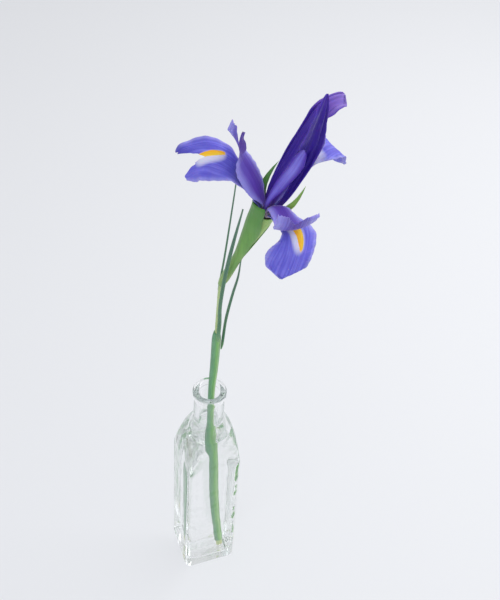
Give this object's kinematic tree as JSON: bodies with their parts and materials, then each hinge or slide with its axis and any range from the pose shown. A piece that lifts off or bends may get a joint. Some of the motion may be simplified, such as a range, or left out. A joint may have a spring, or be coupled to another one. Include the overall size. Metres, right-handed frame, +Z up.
{
  "type": "iris flower in a glass bottle",
  "caption": "Cut Dutch iris with a violet-blue bloom, green spathe, stem and leaves, standing in a clear square glass bottle of water.",
  "frame": {"origin": "middle of the bottle's underside, on the surface it stands on", "axes": "+Z up along the bottle's axis; X and Y square to the bottle's flat sides, the bloom leaning towards -Y"},
  "size_m": [0.1057, 0.1259, 0.5558],
  "materials": {
    "clear_glass": "clear, faint green at the edges",
    "water": "clear tap water",
    "stem_green": "smooth pale green, slightly waxy",
    "leaf_green": "blue-green with a waxy bloom",
    "bract_green": "satin green with fine ribs",
    "ovary_green": "smooth pale green",
    "fall_blue": "soft petal, yellow signal at the throat",
    "stamen_pale": "matt",
    "style_violet": "soft satin petal",
    "standard_violet": "soft satin petal, deep violet"
  },
  "bodies": {
    "root": {"glass_bottle": "clear_glass", "water": "water", "stem": "stem_green", "leaf_sheath": "leaf_green", "leaf_left": "leaf_green", "leaf_front": "leaf_green", "leaf_right": "leaf_green", "spathe_outer": "bract_green", "spathe_inner": "bract_green", "ovary": "ovary_green", "fall_left": "fall_blue", "fall_front": "fall_blue", "fall_back": "fall_blue", "stamen_left": "stamen_pale", "stamen_front": "stamen_pale", "stamen_back": "stamen_pale", "style_arm_left": "style_violet", "style_arm_front": "style_violet", "style_arm_back": "style_violet", "standard_left": "standard_violet", "standard_right": "standard_violet", "standard_front": "standard_violet"}
  },
  "joints": []
}
